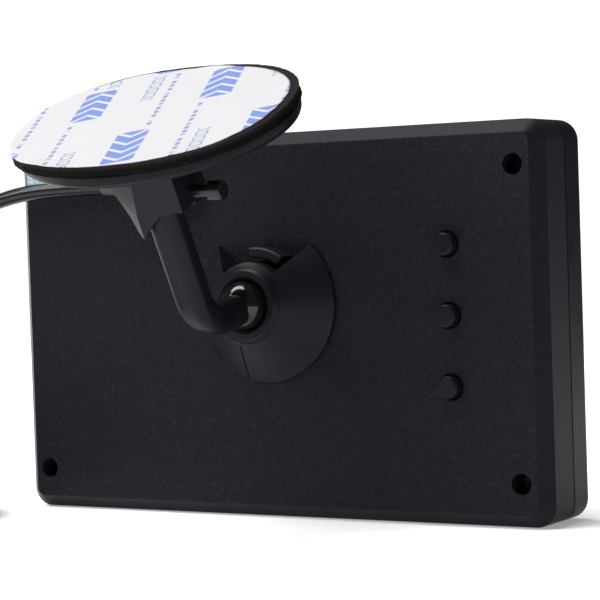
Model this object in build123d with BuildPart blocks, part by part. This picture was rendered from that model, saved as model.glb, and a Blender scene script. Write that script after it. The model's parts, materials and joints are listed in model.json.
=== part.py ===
"""Rear-view camera display with an adhesive ball mount and a coiled lead.

Frame: millimetres, +Z up, the screen faces -Y, the mount side faces +Y.
The origin is on the case's bottom face, midway along its width and depth.
"""
import os
from math import cos, pi, radians, sin, tan

from build123d import *

# ---------------------------------------------------------------- driving dimensions
WIDTH = 120.0            # case, along X
HEIGHT = 75.0            # case, along Z
DEPTH = 18.0             # case, along Y
WALL = 2.0               # moulded wall of both case halves
CORNER_RADIUS = 4.0      # case outline seen from the front
REAR_CHAMFER = 2.4       # flat bevel round the rear face
BEVEL_EDGE = 0.35        # softened edge between the bevel and the rear face
FRONT_ROUND = 1.8        # rounded edge round the screen side
SEAM_BEVEL = 0.25        # small bevel each side of the parting line
REAR_DEPTH = 10.5        # rear shell, from the rear face to the parting line

WINDOW_WIDTH = 97.0      # opening for the picture
WINDOW_HEIGHT = 55.5
LENS_BORDER = 4.5        # printed border of the front window round the opening
LENS_THICK = 1.2
BEZEL_FACE = 2.5         # front wall behind the window glass
GASKET_THICK = 0.6
LCD_WIDTH = 100.0
LCD_HEIGHT = 64.0
LCD_THICK = 1.6
GUIDE_THICK = 2.2
TRAY_SHEET = 0.4
FLEX_WIDTH = 22.0
FLEX_THICK = 0.3
FLEX_BEND = 0.7
FLEX_SLACK = 1.5         # loop of the ribbon below the glass
FLEX_SOCKET_THICK = 1.4
FLEX_SOCKET_RISE = 5.0   # socket above the board's lower edge

SCREW_INSET_X = 5.75     # case screws, from the case sides
SCREW_INSET_Z = 8.2      # case screws, from the top and bottom
BOSS_RADIUS = 3.5
SCREW_HOLE_RADIUS = 2.0  # counterbore in the rear face
SCREW_HOLE_DEPTH = 5.0
SCREW_HEAD_RADIUS = 1.75
SCREW_HEAD_THICK = 1.3
SCREW_SHANK_RADIUS = 1.0

BOARD_WIDTH = 96.0
BOARD_HEIGHT = 56.0
BOARD_THICK = 1.2
BOARD_STANDOFF = 4.3     # rear wall to the board
BOARD_HOLE_INSET = 4.0
BOARD_POST_RADIUS = 2.4
BOARD_SCREW_BITE = 3.2   # board screws into their posts
PILOT_SPARE = 0.4        # pilot hole deeper than its screw
SWITCH_SIDE = 6.0
SWITCH_BODY = 1.8
SWITCH_PLUNGER_RADIUS = 1.6
SWITCH_GAP = 0.1         # button to the rear wall and to its switch

BUTTON_RADIUS = 2.15
BUTTON_PROUD = 2.0
BUTTON_X = -40.4
BUTTON_PITCH = 13.3
BUTTON_MIDDLE_Z = 1.7    # middle button above the case's mid height
BUTTON_FLANGE = 0.9      # how much wider the flange is than the cap
BUTTON_FLANGE_THICK = 0.8
BUTTON_TRAVEL = 0.4
BUTTON_EDGE = 0.45

SOCKET_X = -0.8          # ball socket on the rear face
SOCKET_SCREW_CIRCLE = 5.0
SOCKET_SCREW_RADIUS = 0.9
SOCKET_SCREW_HEAD = 1.6
SOCKET_SCREW_HEAD_THICK = 1.0
SOCKET_SCREW_REACH = 2.6
SOCKET_RISE = 4.4        # above the case's mid height
SKIRT_RADIUS = 15.4
SKIRT_EDGE = 0.8         # skirt's height at its foot
RING_WALL = 1.2          # ring round the ball's mouth
COLLAR_WALL = 1.2        # wall left behind the ring inside the notch
NOTCH_HALF_ANGLE = 43.0
CORE_WALL = 0.95         # core round the ball seat
SEAT_FLOOR = 2.95        # lowest point of the seat above the rear face
BALL_RADIUS = 4.7
CUP_WALL = 0.65
CUP_LIP = 3.9            # friction cup's rim below the ball centre
CORE_LOW = 2.4           # core's rim below the ball centre
TAB_GAP = 0.8            # release tab to the collar
TAB_THICK = 2.0
TAB_HEIGHT = 4.6
SLIT_WIDTH = 0.3
SLIT_ANGLE = -106.0      # on the rear face, counted from the -X side

LEG_OUT = 14.7           # arm, ball centre to the elbow corner
LEG_DROP_ANGLE = 12.5    # below the rear face's normal
LEG_UP = 28.0            # elbow corner to the clamp screw
LEG_UP_ANGLE = 62.5      # above the rear face's normal
ELBOW_RADIUS = 8.0
ARM_WIDTH = 6.5
ARM_THICK = 6.0
ARM_EDGE = 2.5
KNUCKLE_RADIUS = 3.3
STUB_RADIUS = 1.8
STUB_LENGTH = 9.0        # ball's stub, from the ball centre

CHEEK_WALL = 2.05        # hinge block's wall beside each washer
BLOCK_FRONT = 4.6        # front wall's face, from the clamp screw
BLOCK_BACK = 4.6
BLOCK_LOW = 2.6          # block's square end below the clamp screw
FRONT_WALL = 1.2
HEAD_CHEEK = 1.4         # how much thicker the cheek is on the screw head's side
GUSSET_SPREAD = 4.6      # gusset's reach past the cheek at the plate
TIP_REACH = 7.0          # guard tip below the clamp screw
ARCH_RADIUS = 10.5
ARCH_TOP = 1.9           # arch's crown below the clamp screw
ARCH_SHIFT = -6.6
SCREW_TO_PLATE = 8.4     # clamp screw to the plate's underside
PLATE_SHIFT = 5.6        # plate centre behind the clamp screw
PLATE_SCREW_X, PLATE_SCREW_Y = 3.6, -2.2
PLATE_SCREW_BITE = 3.8
CLAMP_RADIUS = 1.2
CLAMP_HEAD_RADIUS = 1.95
CLAMP_HEAD_LENGTH = 2.6
CLAMP_SHOW = 4.2         # shank between the block and the screw's head
CLAMP_TAIL = 1.2         # shank past the block's cheek
INSERT_WALL = 0.8        # threaded insert
INSERT_LENGTH = 2.4
INSERT_SINK = 0.5        # insert from the cheek's inner face
WASHER_THICK = 0.5

PLATE_HALF_LENGTH = 28.6
PLATE_HALF_WIDTH = 21.2
PLATE_THICK = 2.6
PLATE_ROUND = 1.9
FOAM_BORDER = 0.1        # plate showing round the foam
FOAM_THICK = 2.0
LINER_BORDER = 1.0       # foam showing round the liner
LINER_THICK = 0.15

CABLE_DIAMETER = 3.2
GLAND_X = 16.0           # gland's blind end
GLAND_LENGTH = 12.0
GLAND_WIDTH = 7.5
GLAND_PROUD = 6.4
GLAND_RISE = 28.4        # above the case's mid height
GLAND_EDGE = 1.6
RELIEF_LENGTH = 7.0
RELIEF_WALL = 0.3        # relief round the lead at its thin end
WIRE_HOLE_RADIUS = 2.2
WIRE_HOLE_IN = 3.5       # wire hole from the gland's blind end

LABEL_WIDTH, LABEL_HEIGHT, LABEL_THICK = 12.2, 6.2, 0.12
LABEL_SIDE_GAP = 0.3     # label to the rear face's bevel
LABEL_RISE = 31.8        # above the case's mid height

COIL_X, COIL_Y = 78.0, 35.0
COIL_MEAN_RADIUS = 18.5
COIL_WIDE, COIL_HIGH = 9.8, 9.8
COIL_EDGE = 3.0
TIE_THICK = 0.4
TIE_GAP = 0.1
TIE_WIDTH = 2.6
PLUG_RADIUS = 6.0        # coupling ring, which lies on the floor
PLUG_GRIP_RADIUS = 5.0
PLUG_START = 4.0         # plug's tail before the coil's middle
PLUG_OUT = 3.5           # plug's axis outside the coil's mean circle
PLUG_TAIL = 14.0
PLUG_GRIP = 14.0
PLUG_RING = 8.5
INSERT_RADIUS = 4.3
INSERT_SHORT = 0.8       # insert's face behind the ring's end
CONTACT_RADIUS = 0.5
CONTACT_BORE = 0.3
CONTACT_CIRCLE = 2.2
KNURL_RADIUS = 0.25
GRIP_GROOVE_RADIUS = 0.45

# ---------------------------------------------------------------- clearances
SCREW_PLAY = 0.05        # screws in their own holes
SEAT_PLAY = 0.1          # parts laid in a recess
SLIDE_PLAY = 0.15        # buttons in the rear shell
BALL_PLAY = 0.15         # ball, cup and seat
PIVOT_PLAY = 0.05        # clamp screw and stub in their bores
SIDE_PLAY = 0.1          # washers beside the knuckle

# ---------------------------------------------------------------- worked-out places
REAR_Y = DEPTH / 2
FRONT_Y = -DEPTH / 2
SEAM_Y = REAR_Y - REAR_DEPTH
MID_Z = HEIGHT / 2
INNER_REAR_Y = REAR_Y - WALL
BOARD_REAR_Y = INNER_REAR_Y - BOARD_STANDOFF
BOARD_FRONT_Y = BOARD_REAR_Y - BOARD_THICK
BEZEL_INNER_Y = FRONT_Y + BEZEL_FACE
LCD_FRONT_Y = BEZEL_INNER_Y + GASKET_THICK
GUIDE_FRONT_Y = LCD_FRONT_Y + LCD_THICK
TRAY_FRONT_Y = GUIDE_FRONT_Y + GUIDE_THICK
SCREW_SPACING_X = WIDTH - 2 * SCREW_INSET_X
SCREW_SPACING_Z = HEIGHT - 2 * SCREW_INSET_Z
SOCKET_Z = MID_Z + SOCKET_RISE
CUP_RADIUS = BALL_RADIUS + BALL_PLAY + CUP_WALL
SEAT_RADIUS = CUP_RADIUS + BALL_PLAY
CORE_RADIUS = SEAT_RADIUS + CORE_WALL
RING_BORE = SEAT_RADIUS + BALL_PLAY
RING_RADIUS = RING_BORE + RING_WALL
COLLAR_RADIUS = RING_RADIUS + COLLAR_WALL
BALL_HEIGHT = SEAT_FLOOR + SEAT_RADIUS
CORE_HEIGHT = BALL_HEIGHT - CORE_LOW
MOUTH_RADIUS = BALL_RADIUS + 0.25
RING_HEIGHT = BALL_HEIGHT + 0.2
BALL_Y = REAR_Y + BALL_HEIGHT


def upright(y):
    """Vertical plane at depth y: local x is +X, local y is +Z, extrusions go to -Y."""
    return Plane(origin=(0, y, MID_Z), x_dir=(1, 0, 0), z_dir=(0, -1, 0))


def save(piece, name):
    """Label a finished piece and write it as one STEP file."""
    piece.label = name
    export_step(piece, f"parts/{name}.step")


os.makedirs("parts", exist_ok=True)

# ================================================================ case
case_screws_at = GridLocations(SCREW_SPACING_X, SCREW_SPACING_Z, 2, 2)
board_screws_at = GridLocations(BOARD_WIDTH - 2 * BOARD_HOLE_INSET,
                                BOARD_HEIGHT - 2 * BOARD_HOLE_INSET, 2, 2)
button_places = [(BUTTON_X, BUTTON_MIDDLE_Z + step * BUTTON_PITCH) for step in (1, 0, -1)]
socket_screws_at = [(SOCKET_X + SOCKET_SCREW_CIRCLE * cos(radians(a)),
                     SOCKET_RISE + SOCKET_SCREW_CIRCLE * sin(radians(a)))
                    for a in (90, 210, 330)]

with BuildPart() as rear_shell:
    with BuildSketch(upright(REAR_Y)):
        RectangleRounded(WIDTH, HEIGHT, CORNER_RADIUS)
    extrude(amount=REAR_DEPTH)
    chamfer(rear_shell.faces().sort_by(Axis.Y)[-1].edges(), REAR_CHAMFER)
    fillet(rear_shell.faces().sort_by(Axis.Y)[-1].edges(), BEVEL_EDGE)
    chamfer(rear_shell.faces().sort_by(Axis.Y)[0].edges(), SEAM_BEVEL)
    with BuildSketch(upright(INNER_REAR_Y)):
        RectangleRounded(WIDTH - 2 * WALL, HEIGHT - 2 * WALL, CORNER_RADIUS - WALL)
    extrude(amount=REAR_DEPTH, mode=Mode.SUBTRACT)
    with BuildSketch(upright(INNER_REAR_Y)):
        with case_screws_at:
            Circle(BOSS_RADIUS)
    extrude(amount=INNER_REAR_Y - SEAM_Y)
    with BuildSketch(upright(INNER_REAR_Y)):
        with board_screws_at:
            Circle(BOARD_POST_RADIUS)
    extrude(amount=BOARD_STANDOFF)
    with BuildSketch(upright(REAR_Y)):
        with case_screws_at:
            Circle(SCREW_HOLE_RADIUS)
    extrude(amount=SCREW_HOLE_DEPTH, mode=Mode.SUBTRACT)
    with BuildSketch(upright(REAR_Y)):
        with case_screws_at:
            Circle(SCREW_SHANK_RADIUS + 4 * SCREW_PLAY)
    extrude(amount=REAR_DEPTH, mode=Mode.SUBTRACT)
    with BuildSketch(upright(BOARD_REAR_Y)):
        with board_screws_at:
            Circle(SCREW_SHANK_RADIUS + SCREW_PLAY)
    extrude(amount=-(BOARD_SCREW_BITE + PILOT_SPARE), mode=Mode.SUBTRACT)
    with BuildSketch(upright(REAR_Y)):
        with Locations(*button_places):
            Circle(BUTTON_RADIUS + SLIDE_PLAY)
        with Locations(*socket_screws_at):
            Circle(SOCKET_SCREW_RADIUS + SCREW_PLAY)
        with Locations((GLAND_X + WIRE_HOLE_IN, GLAND_RISE)):
            Circle(WIRE_HOLE_RADIUS)
    extrude(amount=WALL, mode=Mode.SUBTRACT)
    chamfer(rear_shell.edges().filter_by(GeomType.CIRCLE).filter_by(
        lambda e: abs(e.radius - BUTTON_RADIUS - SLIDE_PLAY) < 1e-6
        and e.center().Y > REAR_Y - 1e-6), 0.3)
save(rear_shell.part, "rear_shell")

LENS_WIDTH = WINDOW_WIDTH + 2 * LENS_BORDER
LENS_HEIGHT = WINDOW_HEIGHT + 2 * LENS_BORDER
POST_REACH = SEAM_Y - SEAT_PLAY

with BuildPart() as front_bezel:
    with BuildSketch(upright(SEAM_Y)):
        RectangleRounded(WIDTH, HEIGHT, CORNER_RADIUS)
    extrude(amount=SEAM_Y - FRONT_Y)
    fillet(front_bezel.faces().sort_by(Axis.Y)[0].edges(), FRONT_ROUND)
    chamfer(front_bezel.faces().sort_by(Axis.Y)[-1].edges(), SEAM_BEVEL)
    with BuildSketch(upright(SEAM_Y)):
        RectangleRounded(WIDTH - 2 * WALL, HEIGHT - 2 * WALL, CORNER_RADIUS - WALL)
    extrude(amount=SEAM_Y - BEZEL_INNER_Y, mode=Mode.SUBTRACT)
    with BuildSketch(upright(POST_REACH)):
        with case_screws_at:
            Circle(BOSS_RADIUS - 0.4)
    extrude(amount=POST_REACH - BEZEL_INNER_Y)
    with BuildSketch(upright(POST_REACH)):
        with case_screws_at:
            Circle(SCREW_SHANK_RADIUS + SCREW_PLAY)
    extrude(amount=POST_REACH - BEZEL_INNER_Y, mode=Mode.SUBTRACT)
    with BuildSketch(upright(BEZEL_INNER_Y)):
        RectangleRounded(WINDOW_WIDTH, WINDOW_HEIGHT, 1.0)
    extrude(amount=BEZEL_FACE, mode=Mode.SUBTRACT)
    with BuildSketch(upright(FRONT_Y + LENS_THICK + SEAT_PLAY)):
        RectangleRounded(LENS_WIDTH + 2 * SEAT_PLAY, LENS_HEIGHT + 2 * SEAT_PLAY, 2.0)
    extrude(amount=LENS_THICK + SEAT_PLAY, mode=Mode.SUBTRACT)
save(front_bezel.part, "front_bezel")

with BuildPart() as front_window:
    with BuildSketch(upright(FRONT_Y + LENS_THICK + SEAT_PLAY)):
        RectangleRounded(LENS_WIDTH, LENS_HEIGHT, 2.0 - SEAT_PLAY)
    extrude(amount=LENS_THICK)
    chamfer(front_window.faces().sort_by(Axis.Y)[0].edges(), 0.2)
save(front_window.part, "front_window")

with BuildPart() as case_screws:
    head_back = REAR_Y - SCREW_HOLE_DEPTH + SCREW_HEAD_THICK
    with BuildSketch(upright(head_back)):
        with case_screws_at:
            Circle(SCREW_HEAD_RADIUS)
    extrude(amount=SCREW_HEAD_THICK)
    fillet(case_screws.faces().filter_by(Axis.Y).group_by(Axis.Y)[-1].edges(), 0.5)
    with BuildSketch(upright(head_back - SCREW_HEAD_THICK)):
        with case_screws_at:
            Circle(SCREW_SHANK_RADIUS)
    extrude(amount=head_back - SCREW_HEAD_THICK - BEZEL_INNER_Y - 0.5)
    with BuildSketch(upright(head_back)):
        with case_screws_at:
            Rectangle(1.9, 0.45)
            Rectangle(0.45, 1.9)
    extrude(amount=0.7, mode=Mode.SUBTRACT)
save(case_screws.part, "case_screws")

# ================================================================ picture stack
with BuildPart() as window_gasket:
    with BuildSketch(upright(LCD_FRONT_Y)):
        Rectangle(LCD_WIDTH, LCD_HEIGHT)
        Rectangle(WINDOW_WIDTH - 1.0, WINDOW_HEIGHT - 1.0, mode=Mode.SUBTRACT)
    extrude(amount=GASKET_THICK)
save(window_gasket.part, "window_gasket")

with BuildPart() as lcd_panel:
    with BuildSketch(upright(GUIDE_FRONT_Y)):
        Rectangle(LCD_WIDTH, LCD_HEIGHT)
    extrude(amount=LCD_THICK)
save(lcd_panel.part, "lcd_panel")

with BuildPart() as light_guide:
    with BuildSketch(upright(TRAY_FRONT_Y)):
        Rectangle(LCD_WIDTH - 1.0, LCD_HEIGHT - 1.0)
    extrude(amount=GUIDE_THICK)
save(light_guide.part, "light_guide")

with BuildPart() as lcd_tray:
    tray_width = LCD_WIDTH + 2 * (TRAY_SHEET + SEAT_PLAY)
    tray_height = LCD_HEIGHT + 2 * (TRAY_SHEET + SEAT_PLAY)
    with BuildSketch(upright(TRAY_FRONT_Y + TRAY_SHEET)):
        Rectangle(tray_width, tray_height)
    extrude(amount=TRAY_SHEET + GUIDE_THICK + LCD_THICK - 0.4)
    with BuildSketch(upright(TRAY_FRONT_Y)):
        Rectangle(tray_width - 2 * TRAY_SHEET, tray_height - 2 * TRAY_SHEET)
    extrude(amount=GUIDE_THICK + LCD_THICK, mode=Mode.SUBTRACT)
    with BuildSketch(upright(TRAY_FRONT_Y)):
        with Locations((0, -tray_height / 2)):
            Rectangle(FLEX_WIDTH + 3.0, 2.0)
    extrude(amount=GUIDE_THICK + LCD_THICK, mode=Mode.SUBTRACT)
save(lcd_tray.part, "lcd_tray")

FLEX_SOCKET_Z = -BOARD_HEIGHT / 2 + FLEX_SOCKET_RISE
flex_y = BOARD_FRONT_Y - FLEX_SOCKET_THICK / 2
flex_low_z = MID_Z - LCD_HEIGHT / 2 - FLEX_SLACK
lcd_edge_y = LCD_FRONT_Y + LCD_THICK / 2

with BuildPart() as flex_socket:
    with BuildSketch(upright(BOARD_FRONT_Y)):
        with Locations((0, FLEX_SOCKET_Z)):
            Rectangle(FLEX_WIDTH + 3.0, 4.0)
    extrude(amount=FLEX_SOCKET_THICK)
    with BuildSketch(upright(flex_y + FLEX_THICK / 2 + SCREW_PLAY)):
        with Locations((0, FLEX_SOCKET_Z - 1.0)):
            Rectangle(FLEX_WIDTH + 0.4, 2.0)
    extrude(amount=FLEX_THICK + 2 * SCREW_PLAY, mode=Mode.SUBTRACT)
save(flex_socket.part, "flex_socket")

with BuildPart() as lcd_flex:
    with BuildSketch(Plane.YZ.offset(-FLEX_WIDTH / 2)):
        with BuildLine():
            FilletPolyline((flex_y, MID_Z + FLEX_SOCKET_Z - 0.2), (flex_y, flex_low_z),
                           (lcd_edge_y, flex_low_z),
                           (lcd_edge_y, MID_Z - LCD_HEIGHT / 2 - FLEX_THICK),
                           radius=FLEX_BEND)
            offset(amount=FLEX_THICK / 2, side=Side.BOTH)
        make_face()
    extrude(amount=FLEX_WIDTH)
save(lcd_flex.part, "lcd_flex")

# ================================================================ main board
with BuildPart() as main_board:
    with BuildSketch(upright(BOARD_REAR_Y)):
        RectangleRounded(BOARD_WIDTH, BOARD_HEIGHT, 1.5)
        with board_screws_at:
            Circle(SCREW_SHANK_RADIUS + SLIDE_PLAY, mode=Mode.SUBTRACT)
    extrude(amount=BOARD_THICK)
save(main_board.part, "main_board")

with BuildPart() as board_screws:
    with BuildSketch(upright(BOARD_FRONT_Y)):
        with board_screws_at:
            Circle(SCREW_HEAD_RADIUS)
    extrude(amount=SCREW_HEAD_THICK)
    with BuildSketch(upright(BOARD_FRONT_Y)):
        with board_screws_at:
            Circle(SCREW_SHANK_RADIUS)
    extrude(amount=-(BOARD_THICK + BOARD_SCREW_BITE))
save(board_screws.part, "board_screws")


def on_board(name, places, outline, height):
    """Components standing on the board's rear side; outline() draws one of them."""
    with BuildPart() as component:
        with BuildSketch(upright(BOARD_REAR_Y)):
            with Locations(*places):
                outline()
        extrude(amount=-height)
    save(component.part, name)


# places from the board's middle, sizes across, and heights above the board
on_board("video_chip", [(18, -10)], lambda: RectangleRounded(14, 14, 0.4), 1.4)
on_board("power_inductor", [(30, 10)], lambda: RectangleRounded(7, 7, 1.6), 3.2)
on_board("capacitors", [(40, 12), (40, 5), (40, -2)], lambda: Circle(2.2), 3.6)
on_board("lead_socket", [(22, 20)], lambda: Rectangle(11, 5), 3.4)
on_board("crystal", [(4, -12)], lambda: RectangleRounded(3.2, 5.0, 0.8), 1.2)

flange_rear_y = INNER_REAR_Y - SWITCH_GAP
flange_front_y = flange_rear_y - BUTTON_FLANGE_THICK
plunger_y = flange_front_y - BUTTON_TRAVEL - SWITCH_GAP

with BuildPart() as tact_switches:
    with BuildSketch(upright(BOARD_REAR_Y)):
        with Locations(*button_places):
            RectangleRounded(SWITCH_SIDE, SWITCH_SIDE, 0.5)
    extrude(amount=-SWITCH_BODY)
    with BuildSketch(upright(BOARD_REAR_Y)):
        with Locations(*button_places):
            Circle(SWITCH_PLUNGER_RADIUS)
    extrude(amount=-(plunger_y - BOARD_REAR_Y))
save(tact_switches.part, "tact_switches")

# ================================================================ buttons
for name, (x, z) in zip(("button_up", "button_menu", "button_down"), button_places):
    with BuildPart() as button:
        with BuildSketch(upright(REAR_Y + BUTTON_PROUD)):
            with Locations((x, z)):
                Circle(BUTTON_RADIUS)
        extrude(amount=REAR_Y + BUTTON_PROUD - flange_rear_y)
        fillet(button.faces().sort_by(Axis.Y)[-1].edges(), BUTTON_EDGE)
        with BuildSketch(upright(flange_rear_y)):
            with Locations((x, z)):
                Circle(BUTTON_RADIUS + BUTTON_FLANGE)
        extrude(amount=BUTTON_FLANGE_THICK)
    save(button.part, name)

# ================================================================ ball socket
socket_plane = Plane(origin=(SOCKET_X, REAR_Y, SOCKET_Z), x_dir=(1, 0, 0), z_dir=(0, 0, 1))
socket_axis = Axis(origin=(SOCKET_X, REAR_Y, SOCKET_Z), direction=(0, 1, 0))
socket_face = Plane(origin=(SOCKET_X, REAR_Y, SOCKET_Z), x_dir=(-1, 0, 0), z_dir=(0, 1, 0))
ball_centre = Vector(SOCKET_X, BALL_Y, SOCKET_Z)
TAB_INNER = COLLAR_RADIUS + TAB_GAP


def sector(inner, outer, start, end):
    """Ring sector on the rear face; angles in degrees, 90 is straight up, 0 is -X."""
    def at(r, a):
        return (r * cos(radians(a)), r * sin(radians(a)))
    middle = (start + end) / 2
    with BuildLine() as outline:
        ThreePointArc(at(outer, start), at(outer, middle), at(outer, end))
        Line(at(outer, end), at(inner, end))
        ThreePointArc(at(inner, end), at(inner, middle), at(inner, start))
        Line(at(inner, start), at(outer, start))
    make_face(outline.edges())


with BuildPart() as socket_skirt:
    with BuildSketch(socket_plane):
        with BuildLine():
            Polyline((CORE_RADIUS + SEAT_PLAY, 0), (SKIRT_RADIUS, 0), (SKIRT_RADIUS, SKIRT_EDGE))
            Spline((SKIRT_RADIUS, SKIRT_EDGE),
                   ((SKIRT_RADIUS + RING_RADIUS) / 2 - 0.2, (SKIRT_EDGE + RING_HEIGHT) / 2 - 0.2),
                   (RING_RADIUS + 0.5, RING_HEIGHT - 1.4))
            Polyline((RING_RADIUS + 0.5, RING_HEIGHT - 1.4), (RING_RADIUS, RING_HEIGHT - 0.5),
                     (RING_RADIUS - 0.4, RING_HEIGHT), (MOUTH_RADIUS + 0.6, RING_HEIGHT),
                     (MOUTH_RADIUS, RING_HEIGHT - 0.5), (MOUTH_RADIUS, RING_HEIGHT - 1.0),
                     (RING_BORE, RING_HEIGHT - 1.5), (RING_BORE, CORE_HEIGHT + SEAT_PLAY),
                     (CORE_RADIUS + SEAT_PLAY, CORE_HEIGHT + SEAT_PLAY),
                     (CORE_RADIUS + SEAT_PLAY, 0))
        make_face()
    revolve(axis=socket_axis)
    with BuildSketch(socket_face):
        sector(COLLAR_RADIUS, SKIRT_RADIUS + 1, 90 - NOTCH_HALF_ANGLE, 90 + NOTCH_HALF_ANGLE)
    extrude(amount=RING_HEIGHT, mode=Mode.SUBTRACT)
    with BuildSketch(socket_face):
        with Locations(Rotation(0, 0, SLIT_ANGLE)):
            with Locations((SKIRT_RADIUS - 3.2, 0)):
                Rectangle(8.0, SLIT_WIDTH)
    extrude(amount=RING_HEIGHT, mode=Mode.SUBTRACT)
save(socket_skirt.part, "socket_skirt")

with BuildPart() as socket_core:
    with BuildSketch(socket_face):
        Circle(CORE_RADIUS)
    extrude(amount=CORE_HEIGHT)
    with BuildSketch(Plane(ball_centre, x_dir=(1, 0, 0), z_dir=(0, 0, 1))):
        Circle(SEAT_RADIUS)
        with Locations((-SEAT_RADIUS / 2, 0)):
            Rectangle(SEAT_RADIUS, 2 * SEAT_RADIUS, mode=Mode.SUBTRACT)
    revolve(axis=socket_axis, mode=Mode.SUBTRACT)
    with BuildSketch(upright(REAR_Y)):
        with Locations(*socket_screws_at):
            Circle(SOCKET_SCREW_RADIUS + SCREW_PLAY)
    extrude(amount=-(SOCKET_SCREW_REACH + PILOT_SPARE / 2), mode=Mode.SUBTRACT)
save(socket_core.part, "socket_core")

with BuildPart() as release_tab:
    with BuildSketch(socket_face):
        sector(TAB_INNER, TAB_INNER + TAB_THICK, 56, 96)
    extrude(amount=TAB_HEIGHT)
    chamfer(release_tab.faces().sort_by(Axis.Y)[-1].edges(), 0.3)
save(release_tab.part, "release_tab")

with BuildPart() as socket_screws:
    with BuildSketch(upright(INNER_REAR_Y)):
        with Locations(*socket_screws_at):
            Circle(SOCKET_SCREW_HEAD)
    extrude(amount=SOCKET_SCREW_HEAD_THICK)
    with BuildSketch(upright(INNER_REAR_Y)):
        with Locations(*socket_screws_at):
            Circle(SOCKET_SCREW_RADIUS)
    extrude(amount=-(WALL + SOCKET_SCREW_REACH))
save(socket_screws.part, "socket_screws")

# friction cup: a shell round the back of the ball, cut off below the socket's mouth
with BuildPart() as friction_cup:
    with BuildSketch(Plane(ball_centre, x_dir=(1, 0, 0), z_dir=(0, 0, 1))):
        Circle(CUP_RADIUS)
        Circle(BALL_RADIUS + BALL_PLAY, mode=Mode.SUBTRACT)
        with Locations((0, CUP_RADIUS - CUP_LIP)):
            Rectangle(2 * CUP_RADIUS, 2 * CUP_RADIUS, mode=Mode.SUBTRACT)
        with Locations((-CUP_RADIUS / 2, 0)):
            Rectangle(CUP_RADIUS, 2 * CUP_RADIUS, mode=Mode.SUBTRACT)
    revolve(axis=socket_axis)
save(friction_cup.part, "friction_cup")

# ================================================================ arm
leg_out_dir = Vector(0, cos(radians(LEG_DROP_ANGLE)), -sin(radians(LEG_DROP_ANGLE)))
leg_up_dir = Vector(0, cos(radians(LEG_UP_ANGLE)), sin(radians(LEG_UP_ANGLE)))
elbow = ball_centre + leg_out_dir * LEG_OUT
pivot = elbow + leg_up_dir * LEG_UP
neck_plane = Plane(origin=ball_centre, x_dir=(1, 0, 0), z_dir=leg_out_dir)
pivot_side = Plane(origin=pivot, x_dir=(0, 1, 0), z_dir=(1, 0, 0))
NECK_START = 2.0
CUP_GAP = 0.25           # ball to the arm's cupped end

with BuildPart() as ball_stud:
    with BuildSketch(neck_plane):
        Circle(STUB_RADIUS)
    extrude(amount=STUB_LENGTH)
    with Locations(neck_plane):
        Sphere(BALL_RADIUS)
save(ball_stud.part, "ball_stud")

with BuildPart() as arm:
    with BuildLine():
        FilletPolyline(ball_centre + leg_out_dir * NECK_START, elbow, pivot, radius=ELBOW_RADIUS)
    with BuildSketch(Plane(origin=ball_centre + leg_out_dir * NECK_START, x_dir=(1, 0, 0),
                           z_dir=leg_out_dir)):
        RectangleRounded(ARM_WIDTH, ARM_THICK, ARM_EDGE)
    sweep()
    with BuildSketch(pivot_side):
        Circle(KNUCKLE_RADIUS)
    extrude(amount=ARM_WIDTH / 2, both=True)
    with BuildSketch(pivot_side):
        Circle(CLAMP_RADIUS + PIVOT_PLAY)
    extrude(amount=ARM_WIDTH, both=True, mode=Mode.SUBTRACT)
    with Locations(neck_plane):
        Sphere(BALL_RADIUS + CUP_GAP, mode=Mode.SUBTRACT)
    with BuildSketch(neck_plane):
        Circle(STUB_RADIUS + PIVOT_PLAY)
    extrude(amount=STUB_LENGTH + 0.3, mode=Mode.SUBTRACT)
save(arm.part, "arm")

# ================================================================ hinge block and pad
# Local frame of the pad group: x along +X, z out of the pad, y towards the free side.
pad_dir = leg_up_dir
hinge_plane = Plane(origin=pivot, x_dir=(1, 0, 0), z_dir=pad_dir)
block_front = Plane(origin=pivot, x_dir=(1, 0, 0), z_dir=hinge_plane.y_dir)
KNUCKLE_GAP = ARM_WIDTH / 2 + 2 * SIDE_PLAY + WASHER_THICK
BLOCK_HALF = KNUCKLE_GAP + CHEEK_WALL
BLOCK_RIGHT = BLOCK_HALF + HEAD_CHEEK
INNER_FRONT = BLOCK_FRONT - FRONT_WALL
GUSSET_REACH = BLOCK_HALF + GUSSET_SPREAD
PLATE_TOP = SCREW_TO_PLATE + PLATE_THICK
INSERT_START = KNUCKLE_GAP + INSERT_SINK
INSERT_OUTER = CLAMP_RADIUS + INSERT_WALL
plate_screws_at = [(-PLATE_SCREW_X, PLATE_SCREW_Y), (PLATE_SCREW_X, PLATE_SCREW_Y)]


def block_section(height, left, corner, shoulder):
    """One level of the block; left is its gusset side, corner the front wall's end."""
    with BuildSketch(hinge_plane.offset(height)) as level:
        Polygon((-BLOCK_RIGHT, -BLOCK_BACK), (left, -BLOCK_BACK), (left, shoulder),
                (corner, BLOCK_FRONT), (-BLOCK_RIGHT, BLOCK_FRONT), align=None)
    return level.sketch


lower_level = block_section(-BLOCK_LOW, BLOCK_HALF, BLOCK_HALF - 3.3, 2.6)
upper_level = block_section(SCREW_TO_PLATE, GUSSET_REACH, BLOCK_HALF - 4.9, 2.2)

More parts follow.
